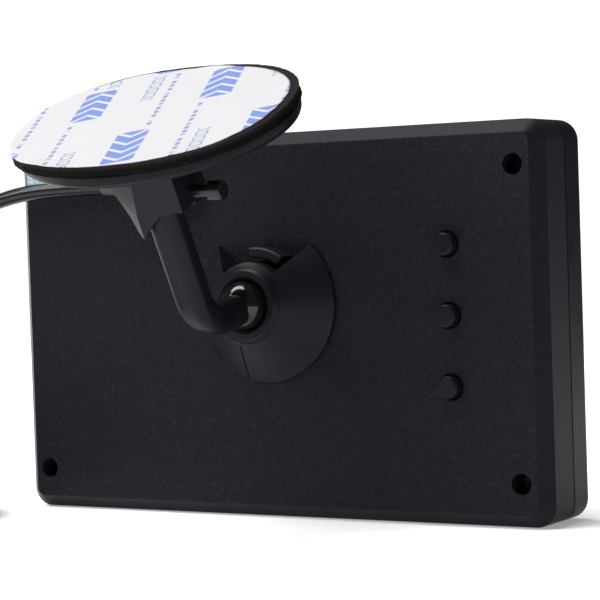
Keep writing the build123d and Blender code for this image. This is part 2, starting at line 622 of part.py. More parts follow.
# the guard runs the front wall and the gusset down to a point beside the arm
with BuildSketch(hinge_plane.offset(-BLOCK_LOW)) as root:
    Polygon((-2, INNER_FRONT), (KNUCKLE_GAP, INNER_FRONT), (KNUCKLE_GAP, 1.4),
            (BLOCK_HALF, 1.4), (BLOCK_HALF, 2.6), (BLOCK_HALF - 3.3, BLOCK_FRONT),
            (-2, BLOCK_FRONT), align=None)
with BuildSketch(hinge_plane.offset(-TIP_REACH)) as point:
    Polygon((1.4, INNER_FRONT + 0.3), (3.4, INNER_FRONT + 0.3), (3.5, INNER_FRONT),
            (3.8, INNER_FRONT), (3.8, INNER_FRONT + 0.3), (2.9, BLOCK_FRONT - 0.2),
            (1.4, BLOCK_FRONT - 0.2), align=None)
guard_root, guard_tip = root.sketch, point.sketch

with BuildPart() as hinge_block:
    loft([lower_level, upper_level])
    loft([guard_root, guard_tip], ruled=True)
    with BuildSketch(hinge_plane.offset(-BLOCK_LOW)):
        with Locations((0, INNER_FRONT)):
            Rectangle(2 * KNUCKLE_GAP, 2 * BLOCK_FRONT, align=(Align.CENTER, Align.MAX))
    extrude(amount=BLOCK_LOW + KNUCKLE_RADIUS + 0.4, mode=Mode.SUBTRACT)
    with BuildSketch(block_front):
        with Locations((ARCH_SHIFT, ARCH_TOP + ARCH_RADIUS)):
            Circle(ARCH_RADIUS)
    extrude(amount=BLOCK_FRONT + 1, mode=Mode.SUBTRACT)
    with BuildSketch(pivot_side):
        Circle(CLAMP_RADIUS + PIVOT_PLAY)
    extrude(amount=2 * GUSSET_REACH, both=True, mode=Mode.SUBTRACT)
    with BuildSketch(pivot_side.offset(INSERT_START)):
        Circle(INSERT_OUTER)
    extrude(amount=GUSSET_REACH, mode=Mode.SUBTRACT)
    with BuildSketch(hinge_plane.offset(SCREW_TO_PLATE)):
        with Locations(*plate_screws_at):
            Circle(SCREW_SHANK_RADIUS + SCREW_PLAY)
    extrude(amount=-(PLATE_SCREW_BITE + PILOT_SPARE), mode=Mode.SUBTRACT)
save(hinge_block.part, "hinge_block")

with BuildPart() as base_plate:
    with BuildSketch(hinge_plane.offset(SCREW_TO_PLATE)):
        with Locations((0, -PLATE_SHIFT)):
            Ellipse(PLATE_HALF_LENGTH, PLATE_HALF_WIDTH)
    extrude(amount=PLATE_THICK)
    fillet(base_plate.faces().sort_by(Axis(pivot, pad_dir))[0].edges(), PLATE_ROUND)
    with BuildSketch(hinge_plane.offset(PLATE_TOP)):
        with Locations(*plate_screws_at):
            Circle(SCREW_HEAD_RADIUS + SEAT_PLAY)
    extrude(amount=-SCREW_HEAD_THICK, mode=Mode.SUBTRACT)
    with BuildSketch(hinge_plane.offset(PLATE_TOP)):
        with Locations(*plate_screws_at):
            Circle(SCREW_SHANK_RADIUS + SEAT_PLAY)
    extrude(amount=-PLATE_THICK, mode=Mode.SUBTRACT)
save(base_plate.part, "base_plate")

with BuildPart() as plate_screws:
    with BuildSketch(hinge_plane.offset(PLATE_TOP - SEAT_PLAY)):
        with Locations(*plate_screws_at):
            Circle(SCREW_HEAD_RADIUS)
    extrude(amount=-(SCREW_HEAD_THICK - SEAT_PLAY))
    with BuildSketch(hinge_plane.offset(PLATE_TOP - SCREW_HEAD_THICK)):
        with Locations(*plate_screws_at):
            Circle(SCREW_SHANK_RADIUS)
    extrude(amount=-(PLATE_THICK - SCREW_HEAD_THICK + PLATE_SCREW_BITE))
save(plate_screws.part, "plate_screws")

with BuildPart() as foam_pad:
    with BuildSketch(hinge_plane.offset(PLATE_TOP)):
        with Locations((0, -PLATE_SHIFT)):
            Ellipse(PLATE_HALF_LENGTH - FOAM_BORDER, PLATE_HALF_WIDTH - FOAM_BORDER)
    extrude(amount=FOAM_THICK)
save(foam_pad.part, "foam_pad")

liner_inset = FOAM_BORDER + LINER_BORDER
with BuildPart() as release_liner:
    with BuildSketch(hinge_plane.offset(PLATE_TOP + FOAM_THICK)):
        with Locations((0, -PLATE_SHIFT)):
            Ellipse(PLATE_HALF_LENGTH - liner_inset, PLATE_HALF_WIDTH - liner_inset)
    extrude(amount=LINER_THICK)
save(release_liner.part, "release_liner")

# clamp screw, its threaded insert and the two washers beside the knuckle
head_inner_x = -(BLOCK_RIGHT + CLAMP_SHOW)
with BuildPart() as clamp_screw:
    with BuildSketch(pivot_side.offset(head_inner_x)):
        Circle(CLAMP_HEAD_RADIUS)
    extrude(amount=-CLAMP_HEAD_LENGTH)
    fillet(clamp_screw.faces().sort_by(Axis.X)[0].edges(), 0.6)
    with BuildSketch(pivot_side.offset(head_inner_x)):
        Circle(CLAMP_RADIUS)
    extrude(amount=BLOCK_HALF + CLAMP_TAIL - head_inner_x)
save(clamp_screw.part, "clamp_screw")

with BuildPart() as clamp_insert:
    with BuildSketch(pivot_side.offset(INSERT_START)):
        Circle(INSERT_OUTER)
        Circle(CLAMP_RADIUS + PIVOT_PLAY, mode=Mode.SUBTRACT)
    extrude(amount=INSERT_LENGTH)
save(clamp_insert.part, "clamp_insert")

with BuildPart() as friction_washers:
    for side in (-1, 1):
        with BuildSketch(pivot_side.offset(side * (ARM_WIDTH / 2 + SIDE_PLAY))):
            Circle(KNUCKLE_RADIUS - 0.2)
            Circle(CLAMP_RADIUS + 2 * PIVOT_PLAY, mode=Mode.SUBTRACT)
        extrude(amount=side * WASHER_THICK)
save(friction_washers.part, "friction_washers")

# ================================================================ label
with BuildPart() as quality_label:
    with BuildSketch(upright(REAR_Y + LABEL_THICK)):
        with Locations((WIDTH / 2 - REAR_CHAMFER - LABEL_SIDE_GAP - LABEL_WIDTH / 2, LABEL_RISE)):
            RectangleRounded(LABEL_WIDTH, LABEL_HEIGHT, 0.4)
    extrude(amount=LABEL_THICK)
save(quality_label.part, "quality_label")

# ================================================================ gland and lead
gland_y = REAR_Y + GLAND_PROUD / 2
gland_z = MID_Z + GLAND_RISE
gland_side = Plane(origin=(GLAND_X, gland_y, gland_z), x_dir=(0, 1, 0), z_dir=(1, 0, 0))
exit_x = GLAND_X + GLAND_LENGTH + RELIEF_LENGTH

with BuildPart() as cable_gland:
    with BuildSketch(gland_side):
        RectangleRounded(GLAND_PROUD, GLAND_WIDTH, GLAND_EDGE)
    extrude(amount=GLAND_LENGTH)
    with BuildSketch(gland_side):
        with Locations((-GLAND_PROUD / 4, 0)):
            Rectangle(GLAND_PROUD / 2, GLAND_WIDTH)
    extrude(amount=GLAND_LENGTH)
    fillet(cable_gland.faces().sort_by(Axis.X)[0].edges().filter_by(
        lambda e: e.center().Y > REAR_Y + 0.1), 1.2)
save(cable_gland.part, "cable_gland")

with BuildPart() as strain_relief:
    with BuildSketch(gland_side.offset(GLAND_LENGTH)):
        Circle(GLAND_PROUD / 2 - RELIEF_WALL)
    with BuildSketch(gland_side.offset(GLAND_LENGTH + RELIEF_LENGTH)):
        Circle(CABLE_DIAMETER / 2 + RELIEF_WALL)
    loft()
save(strain_relief.part, "strain_relief")

route = [
    (exit_x, gland_y, gland_z),
    (46.5, gland_y, gland_z),
    (57.0, 12.8, 65.2),
    (68.5, 12.8, 62.3),
    (80.0, 12.6, 56.6),
    (89.6, 12.6, 47.6),
    (95.0, 13.2, 35.5),
    (96.2, 16.2, 23.4),
    (96.8, 21.5, 14.0),
    (98.4, 27.5, 9.2),
]


def corner_radii(points):
    """Arc radius at each inner point: 0.45 of the shorter run over tan(half the turn)."""
    radii = []
    for before, here, after in zip(points, points[1:], points[2:]):
        run_in = Vector(*here) - Vector(*before)
        run_out = Vector(*after) - Vector(*here)
        turn = run_in.get_angle(run_out)
        radii.append(0.45 * min(run_in.length, run_out.length) / tan(radians(turn / 2)))
    return radii


radii = corner_radii(route)
print("lead corner radii", [round(r, 1) for r in radii])

with BuildPart() as cable:
    with BuildLine() as cable_path:
        FilletPolyline(*route, radius=radii)
    with BuildSketch(Plane(origin=route[0], z_dir=cable_path.wire() % 0)):
        Circle(CABLE_DIAMETER / 2)
    sweep()
cable_section = pi * CABLE_DIAMETER ** 2 / 4
print("lead tube length", round(cable_path.wire().length, 1),
      "volume over section", round(cable.part.volume / cable_section, 1))
save(cable.part, "cable")

coil_axis = Axis((COIL_X, COIL_Y, 0), (0, 0, 1))
coil_plane = Plane(origin=(COIL_X, COIL_Y, 0), x_dir=(1, 0, 0), z_dir=(0, -1, 0))
coil_middle = TIE_THICK + COIL_HIGH / 2

with BuildPart() as cable_coil:
    with BuildSketch(coil_plane):
        with Locations((COIL_MEAN_RADIUS, coil_middle)):
            RectangleRounded(COIL_WIDE, COIL_HIGH, COIL_EDGE)
    revolve(axis=coil_axis)
save(cable_coil.part, "cable_coil")

with BuildPart() as cable_tie:
    with BuildSketch(coil_plane.offset(-TIE_WIDTH / 2)):
        with Locations((COIL_MEAN_RADIUS, coil_middle)):
            RectangleRounded(COIL_WIDE + 2 * (TIE_THICK + TIE_GAP), COIL_HIGH + 2 * TIE_THICK,
                             COIL_EDGE + TIE_THICK)
            RectangleRounded(COIL_WIDE + 2 * TIE_GAP, COIL_HIGH, COIL_EDGE,
                             mode=Mode.SUBTRACT)
    extrude(amount=TIE_WIDTH)
save(cable_tie.part, "cable_tie")

# ================================================================ in-line plug
plug_tail = Plane(origin=(COIL_X - PLUG_START, COIL_Y + COIL_MEAN_RADIUS + PLUG_OUT, PLUG_RADIUS),
                  x_dir=(0, 1, 0), z_dir=(-1, 0, 0))
plug_grip = plug_tail.offset(PLUG_TAIL)
plug_mouth = plug_grip.offset(PLUG_GRIP)

with BuildPart() as plug_relief:
    with BuildSketch(plug_tail):
        Circle(CABLE_DIAMETER / 2 + RELIEF_WALL)
    with BuildSketch(plug_grip):
        Circle(PLUG_GRIP_RADIUS - 1.2)
    loft()
save(plug_relief.part, "plug_relief")

with BuildPart() as plug_body:
    with BuildSketch(plug_grip):
        Circle(PLUG_GRIP_RADIUS)
    extrude(amount=PLUG_GRIP)
    chamfer(plug_body.faces().sort_by(Axis.X)[-1].edges(), 0.8)
    with BuildSketch(plug_grip):
        with PolarLocations(PLUG_GRIP_RADIUS, 12):
            Circle(GRIP_GROOVE_RADIUS)
    extrude(amount=PLUG_GRIP - 2.0, mode=Mode.SUBTRACT)
save(plug_body.part, "plug_body")

with BuildPart() as plug_ring:
    with BuildSketch(plug_mouth):
        Circle(PLUG_RADIUS)
        Circle(INSERT_RADIUS + SEAT_PLAY, mode=Mode.SUBTRACT)
    extrude(amount=PLUG_RING)
    chamfer(plug_ring.faces().sort_by(Axis.X)[0].outer_wire().edges(), 0.4)
    with BuildSketch(plug_mouth):
        with PolarLocations(PLUG_RADIUS, 24):
            Circle(KNURL_RADIUS)
    extrude(amount=PLUG_RING - 2.5, mode=Mode.SUBTRACT)
save(plug_ring.part, "plug_ring")

with BuildPart() as plug_insert:
    with BuildSketch(plug_mouth):
        Circle(INSERT_RADIUS)
        with PolarLocations(CONTACT_CIRCLE, 4):
            Circle(CONTACT_RADIUS + PIVOT_PLAY, mode=Mode.SUBTRACT)
    extrude(amount=PLUG_RING - INSERT_SHORT)
save(plug_insert.part, "plug_insert")

with BuildPart() as plug_contacts:
    with BuildSketch(plug_mouth):
        with PolarLocations(CONTACT_CIRCLE, 4):
            Circle(CONTACT_RADIUS)
            Circle(CONTACT_BORE, mode=Mode.SUBTRACT)
    extrude(amount=PLUG_RING - INSERT_SHORT - 0.4)
save(plug_contacts.part, "plug_contacts")
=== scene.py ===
import json
from math import cos, radians, sin

import bmesh
import bpy
from bpy.props import FloatProperty, FloatVectorProperty, IntProperty, PointerProperty
from bpy.types import Operator, Panel, PropertyGroup
from mathutils import Matrix, Vector, noise


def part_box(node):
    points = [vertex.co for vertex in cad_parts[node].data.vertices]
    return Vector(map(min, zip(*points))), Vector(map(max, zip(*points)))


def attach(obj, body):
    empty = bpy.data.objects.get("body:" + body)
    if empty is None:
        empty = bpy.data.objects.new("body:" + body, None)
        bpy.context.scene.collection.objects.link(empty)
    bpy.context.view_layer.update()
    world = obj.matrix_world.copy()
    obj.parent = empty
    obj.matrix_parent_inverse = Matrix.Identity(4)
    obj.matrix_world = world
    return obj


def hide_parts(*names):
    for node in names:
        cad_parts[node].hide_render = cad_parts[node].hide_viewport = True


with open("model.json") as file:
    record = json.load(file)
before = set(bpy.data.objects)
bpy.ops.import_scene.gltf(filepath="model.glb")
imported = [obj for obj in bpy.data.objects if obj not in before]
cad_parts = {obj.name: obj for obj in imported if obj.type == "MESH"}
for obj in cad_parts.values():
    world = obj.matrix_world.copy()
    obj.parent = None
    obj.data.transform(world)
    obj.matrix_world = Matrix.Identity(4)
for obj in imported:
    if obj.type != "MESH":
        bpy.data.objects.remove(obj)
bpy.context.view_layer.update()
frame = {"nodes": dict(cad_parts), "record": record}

bl_info = {
    "name": "Ball-Mounted Rear-View Display",
    "version": (1, 0, 0),
    "blender": (4, 5, 0),
    "location": "View3D > Sidebar > Display",
    "description": "Finishes, lead, adhesive pad and studio for a dashboard display",
    "category": "Object",
}

MM = 0.001

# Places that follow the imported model
PAD_LOW, PAD_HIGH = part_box("foam_pad")
LINER_LOW, LINER_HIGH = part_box("release_liner")
COIL_LOW, COIL_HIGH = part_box("cable_coil")


# ------------------------------------------------------------------ small helpers
def linear(hex_colour, alpha=1.0):
    """Linear RGBA of an sRGB hex colour such as '1e1d21'."""
    channels = [int(hex_colour[i:i + 2], 16) / 255 for i in (0, 2, 4)]
    return (*[c / 12.92 if c <= 0.04045 else ((c + 0.055) / 1.055) ** 2.4
              for c in channels], alpha)


def srgb(hex_colour):
    """The same colour without alpha, as a property's default."""
    return linear(hex_colour)[:3]


def add_node(tree, kind, inputs=None, **settings):
    """One node; an input's value may be a plain value or another node's output."""
    node = tree.nodes.new(kind)
    for name, value in settings.items():
        setattr(node, name, value)
    for name, value in (inputs or {}).items():
        if isinstance(value, bpy.types.NodeSocket):
            tree.links.new(value, node.inputs[name])
        else:
            node.inputs[name].default_value = value
    return node


def new_material(name, colour, roughness, **sockets):
    """A material with one Principled shader; returns it with its tree and shader."""
    material = bpy.data.materials.new(name)
    material.use_nodes = True
    tree = material.node_tree
    tree.nodes.clear()
    shader = add_node(tree, "ShaderNodeBsdfPrincipled",
                      {"Base Color": colour, "Roughness": roughness,
                       **{k.replace("_", " "): v for k, v in sockets.items()}})
    add_node(tree, "ShaderNodeOutputMaterial", {"Surface": shader.outputs[0]})
    return material, tree, shader


def dress(nodes, material):
    """Puts a material in the slots of CAD nodes."""
    for name in nodes:
        obj = frame["nodes"][name]
        if not obj.material_slots:
            obj.data.materials.append(material)
        for place in obj.material_slots:
            place.material = material


def object_from(name, bm, material, body, smooth=True):
    """A piece from a bmesh, riding on a body, with its finish."""
    mesh = bpy.data.meshes.new(name)
    bm.to_mesh(mesh)
    bm.free()
    for face in mesh.polygons:
        face.use_smooth = smooth
    mesh.materials.append(material)
    obj = bpy.data.objects.new(name, mesh)
    bpy.context.scene.collection.objects.link(obj)
    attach(obj, body)
    return obj


# ------------------------------------------------------------------ settings
class CaseFinish(PropertyGroup):
    case_colour: FloatVectorProperty(
        name="Case colour", description="Moulded ABS of the case", subtype="COLOR",
        size=3, min=0, max=1, default=srgb("17141b"))
    mount_colour: FloatVectorProperty(
        name="Mount colour", description="Moulded ABS of the arm and the socket",
        subtype="COLOR", size=3, min=0, max=1, default=srgb("18151c"))
    grain_size: FloatProperty(
        name="Grain size", description="Width of one grain of the case's texture",
        unit="LENGTH", default=0.45 * MM, min=0.1 * MM, max=2 * MM)


class PadFinish(PropertyGroup):
    print_colour: FloatVectorProperty(
        name="Print colour", description="Marks printed on the release liner",
        subtype="COLOR", size=3, min=0, max=1, default=srgb("5f7bc0"))
    foam_colour: FloatVectorProperty(
        name="Foam colour", description="Foam tape of the adhesive pad",
        subtype="COLOR", size=3, min=0, max=1, default=srgb("0e0d0d"))
    column_pitch: FloatProperty(
        name="Print column pitch", description="Distance between printed columns",
        unit="LENGTH", default=12.8 * MM, min=4 * MM, max=40 * MM)
    ragged: FloatProperty(
        name="Cut raggedness", description="How far the cut foam edge wanders",
        unit="LENGTH", default=0.13 * MM, min=0, max=1 * MM)
    fullness: FloatProperty(
        name="Oval fullness", description="2 is an ellipse; more fills out its quarters",
        default=2.3, min=2, max=4)


class LeadShape(PropertyGroup):
    diameter: FloatProperty(
        name="Lead diameter", description="Outside of the jacket",
        unit="LENGTH", default=3.2 * MM, min=1 * MM, max=10 * MM)
    points_per_turn: IntProperty(
        name="Points per turn", description="Control points in one turn of the coil",
        default=16, min=12, max=48)


class StudioLight(PropertyGroup):
    key_power: FloatProperty(
        name="Key light", description="Power of the large soft light, high on the lead's side",
        unit="POWER", default=15.0, min=0)
    side_power: FloatProperty(
        name="Side light", description="Power of the tall soft light beyond the lead",
        unit="POWER", default=12.0, min=0)
    floor_colour: FloatVectorProperty(
        name="Floor colour", description="Plain pale floor", subtype="COLOR",
        size=3, min=0, max=1, default=srgb("fcfcfd"))
    room_level: FloatProperty(
        name="Room level", description="Strength of the white room's own light",
        default=0.12, min=0)
    overhead: FloatProperty(
        name="Overhead level", description="Strength of the big diffuser far above",
        default=3.9, min=0)


# ------------------------------------------------------------------ finishes
def moulded_abs_spark_grain(colour, grain):
    """Moulded ABS from a spark-eroded tool: dull near-black skin with fine grains on the broad
    rear face, a few of them given painted glints in their colour, and a smoother satin skin round
    the sides."""
    material, tree, shader = new_material("moulded_abs_spark_grain", (*colour, 1), 0.5,
                                          IOR=1.53, Specular_IOR_Level=0.065)
    coords = add_node(tree, "ShaderNodeTexCoord")
    normal = add_node(tree, "ShaderNodeSeparateXYZ", {0: coords.outputs["Normal"]})
    rear = add_node(tree, "ShaderNodeMapRange",
                    {"Value": normal.outputs["Y"], "From Min": 0.9, "From Max": 0.99})
    grains = add_node(tree, "ShaderNodeTexVoronoi",
                      {"Vector": coords.outputs["Object"], "Scale": 1 / grain,
                       "Randomness": 1.0}, feature="F1")
    clouds = add_node(tree, "ShaderNodeTexNoise",
                      {"Vector": coords.outputs["Object"], "Scale": 0.45 / grain,
                       "Detail": 3.0, "Roughness": 0.6})
    relief = add_node(tree, "ShaderNodeMath",
                      {0: clouds.outputs["Fac"], 1: 0.35, 2: grains.outputs["Distance"]},
                      operation="MULTIPLY_ADD")
    height = add_node(tree, "ShaderNodeMath", {0: relief.outputs[0], 1: rear.outputs[0]},
                      operation="MULTIPLY")
    bump = add_node(tree, "ShaderNodeBump",
                    {"Strength": 1.0, "Distance": 0.2 * grain, "Height": height.outputs[0]})
    tree.links.new(bump.outputs[0], shader.inputs["Normal"])
    glints = add_node(tree, "ShaderNodeMapRange",
                      {"Value": grains.outputs["Distance"], "From Min": 0.05,
                       "From Max": 0.75, "To Min": 0.40, "To Max": 0.60})
    rough = add_node(tree, "ShaderNodeMix",
                     {"Factor": rear.outputs[0], "A": 0.44, "B": glints.outputs[0]})
    tree.links.new(rough.outputs[0], shader.inputs["Roughness"])
    # the grain's valleys hold a little less light than its tops
    tone = add_node(tree, "ShaderNodeMapRange",
                    {"Value": clouds.outputs["Fac"], "From Min": 0.3, "From Max": 0.7,
                     "To Min": 1.12, "To Max": 1.45})
    tinted = add_node(tree, "ShaderNodeMix",
                      {"Factor": 1.0, "A": (*colour, 1), "B": tone.outputs[0]},
                      data_type="RGBA", blend_type="MULTIPLY")
    # painted glints: a few grains on the rear face get a lighter base colour, standing in for
    # facets turned to the light
    painted_glint_cells = add_node(tree, "ShaderNodeTexWhiteNoise", {"Vector": grains.outputs["Position"]},
                      noise_dimensions="3D")
    lit = add_node(tree, "ShaderNodeMapRange",
                   {"Value": painted_glint_cells.outputs["Value"], "From Min": 0.7, "From Max": 1.0,
                    "To Max": 0.007})
    lit = add_node(tree, "ShaderNodeMath", {0: lit.outputs[0], 1: rear.outputs[0]},
                   operation="MULTIPLY")
    # the painted glints are mixed into the base colour here
    glinting = add_node(tree, "ShaderNodeMix",
                        {"Factor": lit.outputs[0], "A": tinted.outputs["Result"],
                         "B": (1, 0.97, 1, 1)}, data_type="RGBA")
    tree.links.new(glinting.outputs["Result"], shader.inputs["Base Color"])
    return material


def moulded_abs_satin(name, colour, roughness, flow=9.0 * MM, level=0.11):
    """Satin moulded ABS: an even sheen, broken by faint flow marks and a fine skin."""
    material, tree, shader = new_material(name, (*colour, 1), roughness, IOR=1.53,
                                          Specular_IOR_Level=level)
    coords = add_node(tree, "ShaderNodeTexCoord")
    marks = add_node(tree, "ShaderNodeTexNoise",
                     {"Vector": coords.outputs["Object"], "Scale": 1 / flow,
                      "Detail": 4.0, "Roughness": 0.55})
    skin = add_node(tree, "ShaderNodeTexNoise",
                    {"Vector": coords.outputs["Object"], "Scale": 1 / (0.35 * MM),
                     "Detail": 2.0})
    bump = add_node(tree, "ShaderNodeBump",
                    {"Strength": 0.12, "Distance": 0.02 * MM, "Height": skin.outputs["Fac"]})
    tree.links.new(bump.outputs[0], shader.inputs["Normal"])
    rough = add_node(tree, "ShaderNodeMapRange",
                     {"Value": marks.outputs["Fac"], "From Min": 0.3, "From Max": 0.7,
                      "To Min": roughness - 0.05, "To Max": roughness + 0.06})
    tree.links.new(rough.outputs[0], shader.inputs["Roughness"])
    return material


def plain_finish(name, hex_colour, roughness, speck=0.6 * MM, depth=0.01 * MM, **sockets):
    """A finish with a fine relief of one grain size."""
    material, tree, shader = new_material(name, linear(hex_colour), roughness, **sockets)
    coords = add_node(tree, "ShaderNodeTexCoord")
    skin = add_node(tree, "ShaderNodeTexNoise",
                    {"Vector": coords.outputs["Object"], "Scale": 1 / speck, "Detail": 3.0})
    bump = add_node(tree, "ShaderNodeBump",
                    {"Strength": 0.25, "Distance": depth, "Height": skin.outputs["Fac"]})
    tree.links.new(bump.outputs[0], shader.inputs["Normal"])
    return material


def turned_metal(name, hex_colour, roughness):
    """Turned and plated metal: bright, with fine rings left by the tool."""
    material, tree, shader = new_material(name, linear(hex_colour), roughness, Metallic=1.0)
    coords = add_node(tree, "ShaderNodeTexCoord")
    rings = add_node(tree, "ShaderNodeTexNoise",
                     {"Vector": coords.outputs["Object"], "Scale": 1 / (0.2 * MM),
                      "Detail": 2.0, "Distortion": 0.4})
    rough = add_node(tree, "ShaderNodeMapRange",
                     {"Value": rings.outputs["Fac"], "To Min": roughness - 0.06,
                      "To Max": roughness + 0.1})
    tree.links.new(rough.outputs[0], shader.inputs["Roughness"])
    return material


def printed_window():
    """Acrylic window: glossy, with a black printed border round the dark picture area."""
    border = linear("08080a")
    material, tree, shader = new_material("printed_acrylic_window", border, 0.06,
                                          IOR=1.49, Coat_Weight=0.3, Coat_Roughness=0.03)
    coords = add_node(tree, "ShaderNodeTexCoord")
    low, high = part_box("window_gasket")
    half_x, middle_z = (high.x - low.x) / 2 - 2.5 * MM, (high.z + low.z) / 2
    half_z = (high.z - low.z) / 2 - 5.0 * MM
    place = add_node(tree, "ShaderNodeSeparateXYZ", {0: coords.outputs["Object"]})
    across = add_node(tree, "ShaderNodeMath", {0: place.outputs["X"]}, operation="ABSOLUTE")
    rise = add_node(tree, "ShaderNodeMath", {0: place.outputs["Z"], 1: middle_z},
                    operation="SUBTRACT")
    rise = add_node(tree, "ShaderNodeMath", {0: rise.outputs[0]}, operation="ABSOLUTE")
    in_x = add_node(tree, "ShaderNodeMath", {0: across.outputs[0], 1: half_x},
                    operation="LESS_THAN")
    in_z = add_node(tree, "ShaderNodeMath", {0: rise.outputs[0], 1: half_z},
                    operation="LESS_THAN")
    inside = add_node(tree, "ShaderNodeMath", {0: in_x.outputs[0], 1: in_z.outputs[0]},
                      operation="MULTIPLY")
    tone = add_node(tree, "ShaderNodeMix",
                    {"Factor": inside.outputs[0], "A": border, "B": linear("24272c")},
                    data_type="RGBA")
    tree.links.new(tone.outputs["Result"], shader.inputs["Base Color"])
    return material


def masked_board():
    """Glass-epoxy board: green mask over copper tracks that stand out a little."""
    material, tree, shader = new_material("solder_masked_board", linear("14532b"), 0.35,
                                          IOR=1.5)
    coords = add_node(tree, "ShaderNodeTexCoord")
    tracks = add_node(tree, "ShaderNodeTexBrick",
                      {"Vector": coords.outputs["Object"], "Scale": 1 / (6 * MM),
                       "Color1": linear("17602f"), "Color2": linear("124a26"),
                       "Mortar": linear("2c8a4a"), "Mortar Size": 0.04})
    tree.links.new(tracks.outputs["Color"], shader.inputs["Base Color"])
    bump = add_node(tree, "ShaderNodeBump",
                    {"Strength": 0.4, "Distance": 0.03 * MM, "Height": tracks.outputs["Fac"]})
    tree.links.new(bump.outputs[0], shader.inputs["Normal"])
    return material


class DISPLAY_OT_case(Operator):
    """Finish the case, its window, screws, buttons and the lead's gland"""
    bl_idname = "display.case"
    bl_label = "Case"

    def execute(self, context):
        case = context.scene.display_case
        grained = moulded_abs_spark_grain(case.case_colour, case.grain_size)
        dress(("rear_shell",), grained)
        dress(("front_bezel",),
              moulded_abs_satin("moulded_abs_bezel", case.case_colour, 0.3, level=0.05))
        dress(("cable_gland",),
              moulded_abs_satin("moulded_abs_gland", case.mount_colour, 0.3))
        dress(("button_up", "button_menu", "button_down"),
              moulded_abs_satin("moulded_abs_buttons", case.mount_colour, 0.3, 3 * MM,
                                level=0.1))
        dress(("front_window",), printed_window())
        dress(("case_screws",),
              plain_finish("black_oxide_steel", "0d0d0e", 0.35, Metallic=0.6))
        return {"FINISHED"}


class DISPLAY_OT_inside(Operator):
    """Finish the picture stack and the board inside the case"""
    bl_idname = "display.inside"
    bl_label = "Inside"

    def execute(self, context):
        # die-cut foam strip: dull and slightly open
        dress(("window_gasket",), plain_finish("pe_foam_gasket", "101011", 0.95))
        # liquid-crystal glass, unlit: dark and glossy
        dress(("lcd_panel",), plain_finish("liquid_crystal_glass", "1a1c20", 0.08, IOR=1.52))
        # acrylic light guide under white film: milky
        dress(("light_guide", "lead_socket", "flex_socket"),
              plain_finish("white_nylon_and_film", "e9edf0", 0.3))
        dress(("lcd_tray",), turned_metal("pressed_stainless", "9a9ca0", 0.35))
        dress(("lcd_flex",), plain_finish("polyimide_film", "b0621a", 0.3, IOR=1.7))
        dress(("main_board",), masked_board())
        dress(("video_chip", "power_inductor", "tact_switches"),
              plain_finish("epoxy_package", "1c1c1d", 0.55))
        dress(("capacitors",), turned_metal("aluminium_can", "b8babd", 0.3))
        dress(("crystal", "board_screws", "socket_screws"),
              turned_metal("bright_plated_steel", "b9b9b6", 0.28))
        return {"FINISHED"}


class DISPLAY_OT_mount(Operator):
    """Finish the ball socket, the arm and the hinge block"""
    bl_idname = "display.mount"
    bl_label = "Ball mount"

    def execute(self, context):
        colour = context.scene.display_case.mount_colour
        satin = moulded_abs_satin("moulded_abs_mount", colour, 0.34)
        dress(("arm", "hinge_block"), satin)
        dress(("base_plate",),
              moulded_abs_satin("moulded_abs_plate", colour, 0.3, level=0.06))
        dress(("socket_skirt", "socket_core"),
              moulded_abs_satin("moulded_abs_socket", colour, 0.4))
        dress(("release_tab",), moulded_abs_satin("moulded_abs_tab", colour, 0.45, 3 * MM))
        # moulded acetal, burnished by the cup it turns in: deep gloss
        dress(("ball_stud", "friction_cup"),
              plain_finish("burnished_acetal", "101012", 0.12, depth=0.002 * MM, IOR=1.48))
        dress(("clamp_screw",),
              plain_finish("blackened_steel_screw", "17171a", 0.28, Metallic=0.3))
        dress(("clamp_insert",), turned_metal("turned_brass", "c9a055", 0.3))
        dress(("plate_screws",), turned_metal("zinc_plated_steel", "a9abad", 0.35))
        dress(("friction_washers",), plain_finish("cut_nylon_sheet", "c9c6bd", 0.45))
        return {"FINISHED"}


# ------------------------------------------------------------------ adhesive pad
def pad_matrix(turn=0.0):
    """The pad's own frame: X along its length, Z out of it, from its outer face's middle."""
    mount = next(m for m in frame["record"]["mounts"] if m["name"] == "adhesive_pad")
    out = Vector(mount["axis"]).normalized()
    along = Vector((1, 0, 0))
    turned = Matrix((along, out.cross(along), out)).transposed().to_4x4()
    return Matrix.Translation(mount["pos_m"]) @ turned @ Matrix.Rotation(turn, 4, "Z")


def pad_halves(low, high, thickness):
    """Half length and half width of an oval sheet lying in the pad's plane."""
    out = pad_matrix().col[2]
    return (high.x - low.x) / 2, ((high.y - low.y) - thickness * out.y) / (2 * out.z)


LINER_THICK = 0.15 * MM
FOAM_THICK = 2.0 * MM
LINER_SHIFT = (0.7 * MM, 0.5 * MM, 0.0)       # laid on by hand, a little off the middle
PRINT_SLANT = 16                              # degrees between the print and the pad's length


